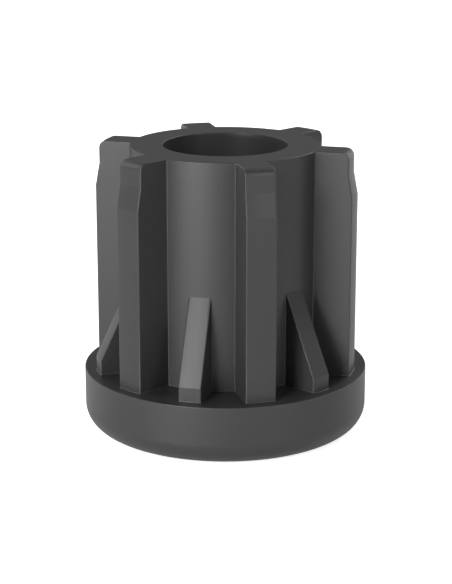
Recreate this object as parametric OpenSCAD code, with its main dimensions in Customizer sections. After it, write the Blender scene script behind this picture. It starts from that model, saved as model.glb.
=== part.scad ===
// Ribbed insert for the end of a round tube, moulded in one piece.
// It stands on its head: the origin is on the axis at the underside of the head,
// and +Z runs up the stem, the way it is pressed into the tube.

/* [Tube] */
// Outside diameter of the tube, which the head covers flush
tube_d = 30; // [29:0.5:36]
// Wall thickness of the tube
tube_wall = 1.5; // [1:0.1:2]

/* [Head] */
// Thickness of the round head
head_h = 6.4; // [4:0.1:12]
// Radius of the rounded lower edge of the head
head_round = 2.4; // [0.5:0.1:3.5]

/* [Stem] */
// Height of the stem above the head
stem_h = 23.7; // [20:0.1:40]
// Wall of the stem around the plain bore
stem_wall = 3.45; // [2.5:0.05:4.5]

/* [Ribs] */
// Number of full-height ribs, with one gusset midway between each pair
rib_count = 6; // [4:1:7]
// Thickness of a rib
rib_w = 3.15; // [2:0.05:4]
// Squeeze of the rib circle in the tube, on the diameter
rib_press = 0.7; // [0.3:0.05:1]
// Slip of the pilot in the tube, on the diameter
pilot_gap = 0.2; // [0.1:0.05:0.8]
// Height of the straight pilot at the top of a rib
pilot_h = 2.4; // [1.5:0.1:4]
// Height of the ramp between the pilot and the rib circle
ramp_h = 2.4; // [1:0.05:5]
// Radius of the outer top corner of a rib
rib_round = 0.8; // [0.3:0.1:1.4]

/* [Gussets] */
// Thickness of a gusset
gusset_w = 2.35; // [1.2:0.05:3]
// Height at which the slope of a gusset meets the stem, above the head
gusset_h = 9.85; // [5:0.05:14]
// Height of the upright foot of a gusset
gusset_foot = 1.55; // [0.6:0.05:3.5]

/* [Thread] */
// Nominal diameter of the moulded metric thread
thread_d = 12; // [10:1:13]
// Pitch of the thread
thread_pitch = 1.75; // [1:0.25:2]
// Height of the top of the thread above the underside of the head
thread_h = 18; // [10:0.5:22]
// Room around the screw in the plain bore above the thread, on the diameter
bore_gap = 1; // [0.4:0.1:1.4]
// Width of the countersunk mouth beyond the thread, on the diameter
mouth_gap = 0.6; // [0.2:0.1:1.5]

/* [Edges] */
// Radius of the broken edges and of the roots of the ribs
edge_round = 0.1; // [0.05:0.05:0.25]

/* [Hidden] */
$fn = 128;

// Radii that follow from the tube
head_r = tube_d / 2;
tube_bore_r = tube_d / 2 - tube_wall;
rib_r = tube_bore_r + rib_press / 2;
pilot_r = tube_bore_r - pilot_gap / 2;

// Radii that follow from the thread
thread_r = thread_d / 2;
thread_minor_r = (thread_d - 1.0825 * thread_pitch) / 2;
bore_r = (thread_d + bore_gap) / 2;
mouth_r = (thread_d + mouth_gap) / 2;
stem_r = bore_r + stem_wall;

// Heights
total_h = head_h + stem_h;
pilot_z = total_h - pilot_h;
ramp_z = pilot_z - ramp_h;

// Spacing of the ribs, and how far cutters and joined solids reach past a face
rib_step = 360 / rib_count;
over = 1;

// The outer upper quarter of a disc, for a round in the corner of a section
module corner_round(r) {
    intersection() {
        circle(r);
        square(r);
    }
}

// The head is a disc with a large round below and a broken edge above
module head() {
    rotate_extrude() {
        square([head_r - head_round, head_h]);
        translate([0, head_round])
            square([head_r, head_h - head_round - edge_round]);
        translate([0, head_round])
            square([head_r - edge_round, head_h - head_round]);
        translate([head_r - head_round, head_round])
            mirror([0, 1])
                corner_round(head_round);
        translate([head_r - edge_round, head_h - edge_round])
            corner_round(edge_round);
    }
}

module stem() {
    cylinder(r = stem_r, h = total_h);
}

// The outline that all ribs share: straight, then a ramp in to the pilot,
// then a rounded corner at the top
module rib_envelope() {
    rotate_extrude() {
        polygon([
            [0, head_h - over],
            [rib_r, head_h - over],
            [rib_r, ramp_z],
            [pilot_r, pilot_z],
            [pilot_r, total_h - rib_round],
            [0, total_h - rib_round]
        ]);
        translate([0, total_h - rib_round - over])
            square([pilot_r - rib_round, rib_round + over]);
        translate([pilot_r - rib_round, total_h - rib_round])
            corner_round(rib_round);
    }
}

// One rib seen from above, from the axis outwards, with a small round in each root
module rib_section() {
    root_x = sqrt(pow(stem_r + edge_round, 2) - pow(rib_w / 2 + edge_round, 2));
    root_y = rib_w / 2 + edge_round;
    touch = stem_r / (stem_r + edge_round);
    translate([0, -rib_w / 2])
        square([rib_r + over, rib_w]);
    for (side = [0, 1])
        mirror([0, side])
            difference() {
                polygon([
                    [0, 0],
                    [root_x, 0],
                    [root_x, root_y - edge_round],
                    [root_x * touch, root_y * touch]
                ]);
                translate([root_x, root_y])
                    circle(edge_round);
            }
}

module ribs() {
    intersection() {
        linear_extrude(total_h)
            for (k = [0 : rib_count - 1])
                rotate(k * rib_step)
                    rib_section();
        rib_envelope();
    }
}

// The shape that all gussets share: an upright foot on the head, then a slope
// that leans in to the stem
module gusset_envelope() {
    rotate_extrude()
        polygon([
            [0, head_h - over],
            [rib_r, head_h - over],
            [rib_r, head_h + gusset_foot],
            [stem_r, head_h + gusset_h],
            [0, head_h + gusset_h]
        ]);
}

module gussets() {
    intersection() {
        for (k = [0 : rib_count - 1])
            rotate((k + 0.5) * rib_step)
                translate([0, -gusset_w / 2, head_h - over])
                    cube([rib_r + over, gusset_w, gusset_h + 2 * over]);
        gusset_envelope();
    }
}

// The hole down the axis: a countersunk mouth, the core of the thread,
// and a wider plain bore that the end of the screw passes into
module through_hole() {
    lead = thread_r - thread_minor_r;
    rotate_extrude() {
        polygon([
            [0, -over],
            [mouth_r, -over],
            [mouth_r, 0],
            [thread_minor_r, mouth_r - thread_minor_r],
            [thread_minor_r, thread_h - lead],
            [thread_r, thread_h],
            [bore_r, thread_h],
            [bore_r, total_h + over],
            [0, total_h + over]
        ]);
        difference() {
            translate([0, total_h - edge_round])
                square([bore_r + edge_round, edge_round + over]);
            translate([bore_r + edge_round, total_h - edge_round])
                circle(edge_round);
        }
    }
}

module tube_insert() {
    color("dimgray")
        difference() {
            union() {
                head();
                stem();
                ribs();
                gussets();
            }
            through_hole();
        }
}

tube_insert();
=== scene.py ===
import math
import bpy
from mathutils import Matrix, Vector


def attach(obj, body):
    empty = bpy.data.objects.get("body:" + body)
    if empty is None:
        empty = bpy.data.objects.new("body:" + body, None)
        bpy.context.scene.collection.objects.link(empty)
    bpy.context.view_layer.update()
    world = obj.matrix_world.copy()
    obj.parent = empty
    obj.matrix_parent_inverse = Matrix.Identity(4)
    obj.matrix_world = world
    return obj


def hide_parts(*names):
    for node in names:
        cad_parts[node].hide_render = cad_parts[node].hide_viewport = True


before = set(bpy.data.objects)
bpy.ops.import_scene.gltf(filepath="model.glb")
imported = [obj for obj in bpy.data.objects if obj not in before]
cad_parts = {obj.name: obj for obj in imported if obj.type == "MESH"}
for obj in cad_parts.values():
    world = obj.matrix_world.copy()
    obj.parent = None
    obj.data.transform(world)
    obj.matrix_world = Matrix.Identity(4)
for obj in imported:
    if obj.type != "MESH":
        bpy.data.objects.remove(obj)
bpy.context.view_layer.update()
MM = 0.001


# The insert
# One moulding in black polyamide: a round head, a straight stem with six press ribs,
# and a small gusset in each gap. The mould leaves most of its edges slightly rounded.
head_r = 15.0 * MM
head_h = 6.4 * MM
head_round = 2.4 * MM
stem_r = 9.95 * MM
stem_h = 23.7 * MM
total_h = head_h + stem_h
rib_pairs = 3
rib_r = 13.85 * MM
rib_w = 3.15 * MM
rib_round = 0.8 * MM
pilot_r = 13.4 * MM
pilot_h = 2.4 * MM
ramp_h = 2.4 * MM
pilot_z = total_h - pilot_h
ramp_z = pilot_z - ramp_h
gusset_w = 2.35 * MM
gusset_foot_z = head_h + 1.55 * MM
gusset_top_z = head_h + 9.85 * MM
edge_round = 0.1 * MM

# How far cutters and joined solids reach past a face, and how finely rounds are drawn
over = 1.0 * MM
circle_steps = 144
head_round_steps = 16
rib_round_steps = 6
edge_steps = 4


def only(piece):
    """Makes piece the active object and the only one selected."""
    bpy.ops.object.select_all(action="DESELECT")
    piece.select_set(True)
    bpy.context.view_layer.objects.active = piece


def arc(centre_r, centre_z, radius, start, end, steps):
    """Points of a round in an outline, from one angle in degrees to another."""
    angles = [math.radians(start + (end - start) * k / steps) for k in range(steps + 1)]
    return [(centre_r + radius * math.cos(a), centre_z + radius * math.sin(a)) for a in angles]


def turned(name, outline):
    """A solid of revolution: a disc drawn up ring by ring through an outline of (radius, height)."""
    radius, height = outline[0]
    bpy.ops.object.select_all(action="DESELECT")
    bpy.ops.mesh.primitive_circle_add(vertices=circle_steps, radius=radius, fill_type="NGON",
                                      location=(0, 0, height))
    piece = bpy.context.object
    piece.name = name
    bpy.ops.object.transform_apply()
    bpy.ops.object.mode_set(mode="EDIT")
    for ring_r, ring_z in outline[1:]:
        bpy.ops.mesh.extrude_region_move(TRANSFORM_OT_translate={"value": (0, 0, ring_z - height)})
        growth = ring_r / radius
        bpy.ops.transform.resize(value=(growth, growth, 1), center_override=(0, 0, 0))
        radius, height = ring_r, ring_z
    bpy.ops.mesh.select_all(action="SELECT")
    bpy.ops.mesh.normals_make_consistent(inside=False)
    bpy.ops.object.mode_set(mode="OBJECT")
    return piece


def combine(piece, other, operation):
    """Joins, cuts or trims piece with other, which is used up."""
    only(piece)
    change = piece.modifiers.new(operation, "BOOLEAN")
    change.operation = operation
    change.solver = "EXACT"
    change.object = other
    bpy.ops.object.modifier_apply(modifier=change.name)
    bpy.data.objects.remove(other)


def crossed_slabs(name, width, low, high, start_angle):
    """Slabs through the axis, each of which gives a rib or gusset on both sides.

    Each is a little larger than the last, so that no two of their ends share a plane.
    """
    stagger = 0.1 * MM
    slabs = []
    for k in range(rib_pairs):
        extra = (k + 1) * stagger
        bpy.ops.object.select_all(action="DESELECT")
        bpy.ops.mesh.primitive_cube_add(size=1)
        slab = bpy.context.object
        slab.scale = (2 * head_r + extra, width, high - low + 2 * extra)
        slab.location.z = (low + high) / 2
        slab.rotation_euler.z = math.radians(start_angle + 180 * k / rib_pairs)
        bpy.ops.object.transform_apply()
        slabs.append(slab)
    slabs[0].name = name
    for slab in slabs[1:]:
        combine(slabs[0], slab, "UNION")
    return slabs[0]


def select_sharp(piece, angle):
    """Selects the edges of piece that turn by more than angle degrees, and no face."""
    only(piece)
    bpy.context.tool_settings.mesh_select_mode = (False, True, False)
    bpy.ops.object.mode_set(mode="EDIT")
    bpy.ops.mesh.select_all(action="DESELECT")
    bpy.ops.mesh.edges_select_sharp(sharpness=math.radians(angle))
    bpy.ops.object.mode_set(mode="OBJECT")
    for face in piece.data.polygons:
        face.select = False


def round_selected():
    """Rounds the selected edges and inner corners of the active piece."""
    bpy.ops.object.mode_set(mode="EDIT")
    bpy.ops.mesh.bevel(offset=edge_round, segments=edge_steps, affect="EDGES", clamp_overlap=False)
    bpy.ops.object.mode_set(mode="OBJECT")


# The stem and its ribs are one star-shaped bar, trimmed by the outline that the ribs share.
# The ribs end a little way down in the head, and the gussets slightly deeper
rib_end_z = head_h - 0.5 * over
gusset_end_z = head_h - 0.6 * over
insert = crossed_slabs("insert", rib_w, head_h - over, total_h + over, 0)
bpy.ops.object.select_all(action="DESELECT")
bpy.ops.mesh.primitive_cylinder_add(vertices=circle_steps, radius=stem_r, depth=total_h,
                                    location=(0, 0, total_h / 2 + over),
                                    rotation=(0, 0, math.pi / circle_steps))
bpy.ops.object.transform_apply()
combine(insert, bpy.context.object, "UNION")
rib_outline = [(rib_r, rib_end_z), (rib_r, ramp_z), (pilot_r, pilot_z)]
rib_outline += arc(pilot_r - rib_round, total_h - rib_round, rib_round, 0, 90, rib_round_steps)
combine(insert, turned("rib_outline", rib_outline), "INTERSECT")

# The gussets lean on the stem, and their slope is carried on inside it. Their outer edges
# are rounded first, so that the rounds run out in the stem
slope = (gusset_top_z - gusset_foot_z) / (rib_r - stem_r)
gussets = crossed_slabs("gussets", gusset_w, head_h - over, gusset_top_z + 3 * over, 90 / rib_pairs)
gusset_outline = [(rib_r, gusset_end_z), (rib_r, gusset_foot_z),
                  (stem_r - over, gusset_top_z + slope * over)]
combine(gussets, turned("gusset_outline", gusset_outline), "INTERSECT")
gusset_edge_angle = 60
inside_r = stem_r - 1.5 * over
select_sharp(gussets, gusset_edge_angle)
for edge in gussets.data.edges:
    ends = [gussets.data.vertices[k].co for k in edge.vertices]
    if abs(ends[0].z - ends[1].z) < edge_round or min(end.xy.length for end in ends) < inside_r:
        edge.select = False
round_selected()
combine(insert, gussets, "UNION")

# The head has a large round below and a slightly rounded edge above
head_outline = arc(head_r - head_round, head_round, head_round, -90, 0, head_round_steps)
head_outline += arc(head_r - edge_round, head_h - edge_round, edge_round, 0, 90, edge_steps)
combine(insert, turned("head", head_outline), "UNION")

# Flat faces are made whole again, apart from seams: those through the ribs keep the faces free
# of holes, and the level one ends the root of a gusset where its side runs out to a point
weld = 0.003 * MM
flat_angle = 0.3
root_end_z = gusset_top_z - 5 * edge_round
seams = [((0, 0, root_end_z), (0, 0, 1))]
for k in range(rib_pairs):
    across = math.pi * (k / rib_pairs + 0.5)
    seams.append(((0, 0, 0), (math.cos(across), math.sin(across), 0)))
only(insert)
bpy.ops.object.mode_set(mode="EDIT")
for point, normal in seams:
    bpy.ops.mesh.select_all(action="SELECT")
    bpy.ops.mesh.bisect(plane_co=point, plane_no=normal)
    bpy.ops.mesh.mark_seam()
bpy.ops.mesh.select_all(action="SELECT")
bpy.ops.mesh.remove_doubles(threshold=weld)
bpy.ops.mesh.dissolve_limited(angle_limit=math.radians(flat_angle), delimit={"SEAM"})
bpy.ops.object.mode_set(mode="OBJECT")

# The edges and inner corners are rounded, apart from the root of a gusset near its tip
edge_angle = 28
select_sharp(insert, edge_angle)
for edge in insert.data.edges:
    heights = [insert.data.vertices[k].co.z for k in edge.vertices]
    if any(root_end_z + weld < z < gusset_top_z + weld for z in heights):
        edge.select = False
round_selected()

# The bore: a countersunk mouth, the core of the thread, and a wider plain length above.
# In a metric thread the core is 1.0825 pitches narrower than the screw
core_share = 1.0825
thread_r = 6.0 * MM
thread_pitch = 1.75 * MM
thread_minor_r = thread_r - core_share * thread_pitch / 2
thread_top_z = 18.0 * MM
thread_depth = thread_r - thread_minor_r
mouth_r = 6.3 * MM
bore_r = 6.5 * MM
bore_outline = [(mouth_r + over, -over), (thread_minor_r, mouth_r - thread_minor_r),
                (thread_minor_r, thread_top_z - thread_depth), (thread_r, thread_top_z),
                (bore_r, thread_top_z)]
bore_outline += arc(bore_r + edge_round, total_h - edge_round, edge_round, 180, 90, edge_steps)
bore_outline += [(bore_r + edge_round, total_h + over)]
combine(insert, turned("bore", bore_outline), "DIFFERENCE")

# The thread is a V-shaped groove that winds up the bore from below the mouth into the plain length.
# Its sides stand 60 degrees apart, and its bottom is an eighth of a pitch wide
groove_turns = 13
groove_steps = 96
half_angle = 30
groove_start_z = -1.5 * thread_pitch
groove_inner_r = thread_minor_r - 0.2 * MM
crest = thread_pitch / 16
flank = math.tan(math.radians(half_angle))
spread = crest + (thread_r - groove_inner_r) * flank
bpy.ops.object.select_all(action="DESELECT")
bpy.ops.mesh.primitive_plane_add(size=1)
groove = bpy.context.object
groove.name = "groove"
for corner in groove.data.vertices:
    outer = corner.co.x > 0
    half_height = crest if outer else spread
    corner.co = (thread_r if outer else groove_inner_r, 0,
                 groove_start_z + math.copysign(half_height, corner.co.y))
screw = groove.modifiers.new("screw", "SCREW")
screw.screw_offset = thread_pitch
screw.iterations = groove_turns
screw.steps = screw.render_steps = groove_steps
bpy.ops.object.modifier_apply(modifier=screw.name)
bpy.ops.object.mode_set(mode="EDIT")
bpy.ops.mesh.select_all(action="SELECT")
bpy.ops.mesh.fill_holes(sides=4)
bpy.ops.mesh.select_all(action="SELECT")
bpy.ops.mesh.normals_make_consistent(inside=False)
bpy.ops.object.mode_set(mode="OBJECT")
combine(insert, groove, "DIFFERENCE")

# The folds where a rib's ramp starts and ends stay crisp, and flat faces shade flat
crease_heights = (ramp_z, pilot_z)
smooth_angle = 24
only(insert)
bpy.ops.object.mode_set(mode="EDIT")
bpy.ops.mesh.select_all(action="SELECT")
bpy.ops.mesh.remove_doubles(threshold=weld / 3)
bpy.ops.mesh.select_all(action="DESELECT")
bpy.ops.object.mode_set(mode="OBJECT")
for edge in insert.data.edges:
    ends = [insert.data.vertices[k].co for k in edge.vertices]
    edge.select = any(all(abs(end.z - height) < weld and end.xy.length > pilot_r - over for end in ends)
                      for height in crease_heights)
bpy.ops.object.mode_set(mode="EDIT")
bpy.ops.mesh.mark_sharp()
bpy.ops.object.mode_set(mode="OBJECT")
bpy.ops.object.shade_smooth_by_angle(angle=math.radians(smooth_angle), keep_sharp_edges=True)
evened = insert.modifiers.new("evened", "WEIGHTED_NORMAL")
evened.keep_sharp = True
bpy.ops.object.modifier_apply(modifier=evened.name)


class Signal:
    """A value that changes over the surface, for use in plain sums."""

    def __init__(self, tree, socket):
        self.tree = tree
        self.socket = socket

    def node(self, kind, settings=None, inputs=None, result=0):
        """Adds a node, with its settings first and then the values or links of its sockets."""
        node = self.tree.nodes.new("ShaderNode" + kind)
        for name, value in (settings or {}).items():
            setattr(node, name, value)
        for name, value in (inputs or {}).items():
            if isinstance(value, Signal):
                self.tree.links.new(value.socket, node.inputs[name])
            else:
                node.inputs[name].default_value = value
        return Signal(self.tree, node.outputs[result])

    def sum(self, operation, a, b):
        return self.node("Math", {"operation": operation}, {0: a, 1: b})

    def __add__(self, other):
        return self.sum("ADD", self, other)

    def __sub__(self, other):
        return self.sum("SUBTRACT", self, other)

    def __rsub__(self, other):
        return self.sum("SUBTRACT", other, self)

    def __mul__(self, other):
        return self.sum("MULTIPLY", self, other)

    __radd__ = __add__
    __rmul__ = __mul__


# Moulded polyamide has the fine grain of its spark-eroded mould, slightly uneven gloss, faint draw marks
# along the stem, and edges that handling has polished.
# The edges are also painted lighter in colour, which is a painted highlight along them
plastic_dark = (0.0245, 0.0245, 0.0245, 1)
plastic_light = (0.030, 0.030, 0.030, 1)
grain_height = 0.0095 * MM
mark_stretch = 0.06
# Width of the edge band that is polished and also painted lighter as a painted highlight
polish_and_painted_highlight_width = 0.25 * MM
plastic = bpy.data.materials.new("black_polyamide")
plastic.use_nodes = True
tree = plastic.node_tree
shader = tree.nodes["Principled BSDF"]
place = Signal(tree, None).node("TexCoord", result="Object")
place_mm = place.node("VectorMath", {"operation": "SCALE"}, {0: place, "Scale": 1 / MM})
along_stem = place.node("VectorMath", {"operation": "MULTIPLY"}, {0: place_mm, 1: (1, 1, mark_stretch)})
grain = place.node("TexNoise", inputs={"Vector": place_mm, "Scale": 7.0, "Detail": 1.0})
cloud = place.node("TexNoise", inputs={"Vector": place_mm, "Scale": 0.35, "Detail": 3.0})
draw_marks = place.node("TexNoise", inputs={"Vector": along_stem, "Scale": 4.0, "Detail": 1.0})

# An edge is where the surface, seen with its corners rounded, turns away from itself; that band gets a
# lower roughness and a painted highlight
rounded = place.node("Bevel", {"samples": 4}, {"Radius": polish_and_painted_highlight_width})
surface = place.node("NewGeometry", result="Normal")
facing = place.node("VectorMath", {"operation": "DOT_PRODUCT"}, {0: rounded, 1: surface}, result="Value")
polish_and_painted_highlight = place.node("MapRange", inputs={"Value": facing, "From Min": 0.999, "From Max": 0.95})

# The edge band is painted lighter here: a painted highlight, not a colour the plastic has; its lower
# roughness below is the polish
lightness = (cloud + draw_marks * 0.5 + polish_and_painted_highlight * 0.35) * 0.5
plastic_colour = place.node("Mix", {"data_type": "RGBA"}, {0: lightness, 6: plastic_dark, 7: plastic_light},
                            result=2)
roughness = 0.39 + cloud * 0.05 + draw_marks * 0.03 - polish_and_painted_highlight * 0.03
relief = place.node("Bump", inputs={"Strength": 1.0, "Distance": grain_height, "Height": grain})
tree.links.new(plastic_colour.socket, shader.inputs["Base Color"])
tree.links.new(roughness.socket, shader.inputs["Roughness"])
tree.links.new(relief.socket, shader.inputs["Normal"])
shader.inputs["Specular IOR Level"].default_value = 0.45
insert.data.materials.clear()
insert.data.materials.append(plastic)

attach(insert, "root")
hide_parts("tube_insert")


# The camera
# It stands a little above the insert and looks down into the bore, turned so that
# one rib points just to the right of it and a gusset stands in the gap to the left.
camera_azimuth = 15.0
camera_elevation = 15.75
camera_distance = 183.65 * MM
look_at = Vector((0, 0, 14.14 * MM))


def direction(azimuth, elevation):
    """The way from the insert to a place around it: azimuth 0 is in front, 90 on the right."""
    turn, rise = math.radians(azimuth), math.radians(elevation)
    return Vector((math.sin(turn) * math.cos(rise), -math.cos(turn) * math.cos(rise), math.sin(rise)))


camera_way = direction(camera_azimuth, camera_elevation)
bpy.ops.object.camera_add(location=look_at + camera_way * camera_distance)
camera = bpy.context.object
camera.name = "camera"
camera.rotation_mode = "QUATERNION"
camera.rotation_quaternion = camera_way.to_track_quat("Z", "Y")
camera.data.sensor_width = 36.0
camera.data.lens = 106.64
camera.data.shift_x = 0.0011
camera.data.clip_start = 0.01
camera.data.clip_end = 10.0
bpy.context.scene.camera = camera


# The stage
# White paper on a table, which looks white by itself away from the insert
# and still takes its shadow, and soft boxes that stand around it.
paper_size = 4.0
paper_glow = 0.75
reflected_glow = 0.15
fill_light = 0.12
bpy.ops.object.select_all(action="DESELECT")
bpy.ops.mesh.primitive_plane_add(size=paper_size)
floor = bpy.context.object
floor.name = "floor"
paper = bpy.data.materials.new("paper")
paper.use_nodes = True
tree = paper.node_tree
shader = tree.nodes["Principled BSDF"]
shader.inputs["Base Color"].default_value = (0.85, 0.85, 0.85, 1)
shader.inputs["Roughness"].default_value = 0.9
shader.inputs["Specular IOR Level"].default_value = 0.0
seen = Signal(tree, None).node("LightPath", result="Is Camera Ray")
mirrored = Signal(tree, seen.socket.node.outputs["Is Glossy Ray"])
passed = Signal(tree, seen.socket.node.outputs["Is Transmission Ray"])
strength = seen * paper_glow + (mirrored + passed) * reflected_glow
glow = seen.node("Emission", inputs={"Strength": strength})
lit = seen.node("AddShader", inputs={0: glow, 1: Signal(tree, shader.outputs[0])})
tree.links.new(lit.socket, tree.nodes["Material Output"].inputs["Surface"])
floor.data.materials.append(paper)

# The world is white to the camera and gives only a weak light
world = bpy.data.worlds.new("studio")
bpy.context.scene.world = world
world.use_nodes = True
tree = world.node_tree
backdrop = tree.nodes["Background"]
backdrop.inputs["Color"].default_value = (1, 1, 1, 1)
seen = Signal(tree, None).node("LightPath", result="Is Camera Ray")
tree.links.new((seen * (1 - fill_light) + fill_light).socket, backdrop.inputs["Strength"])


def soft_box(name, azimuth, elevation, size, power):
    """A lit panel 0.6 m from the insert, which it faces."""
    distance = 0.6
    bpy.ops.object.light_add(type="AREA", location=look_at + direction(azimuth, elevation) * distance)
    box = bpy.context.object
    box.name = name
    box.rotation_mode = "QUATERNION"
    box.rotation_quaternion = direction(azimuth, elevation).to_track_quat("Z", "Y")
    box.data.shape = "RECTANGLE"
    box.data.size, box.data.size_y = size
    box.data.energy = power


soft_box("key_strip", -21, 2, (0.34, 0.05), 1.9)
soft_box("key_box", -18, 12, (0.24, 0.12), 0.2)
soft_box("upper_key_box", -18, 28, (0.16, 0.20), 2.1)
soft_box("left_box", -85, 33, (0.20, 0.48), 0.98)
soft_box("right_box", 56, 8, (0.16, 0.20), 0.30)
soft_box("upper_right_box", 53, 28, (0.28, 0.20), 0.80)
soft_box("right_side_box", 105, 22, (0.30, 0.25), 0.20)
soft_box("back_right_box", 155, 8, (0.35, 0.25), 0.42)
soft_box("upper_back_box", 150, 40, (0.30, 0.25), 1.0)
soft_box("back_left_box", -125, 20, (0.35, 0.40), 0.58)
soft_box("top_box", 195, 65, (0.30, 0.25), 0.16)
soft_box("back_box", 195, 25, (0.35, 0.25), 0.06)
bpy.context.scene.view_settings.view_transform = "Standard"
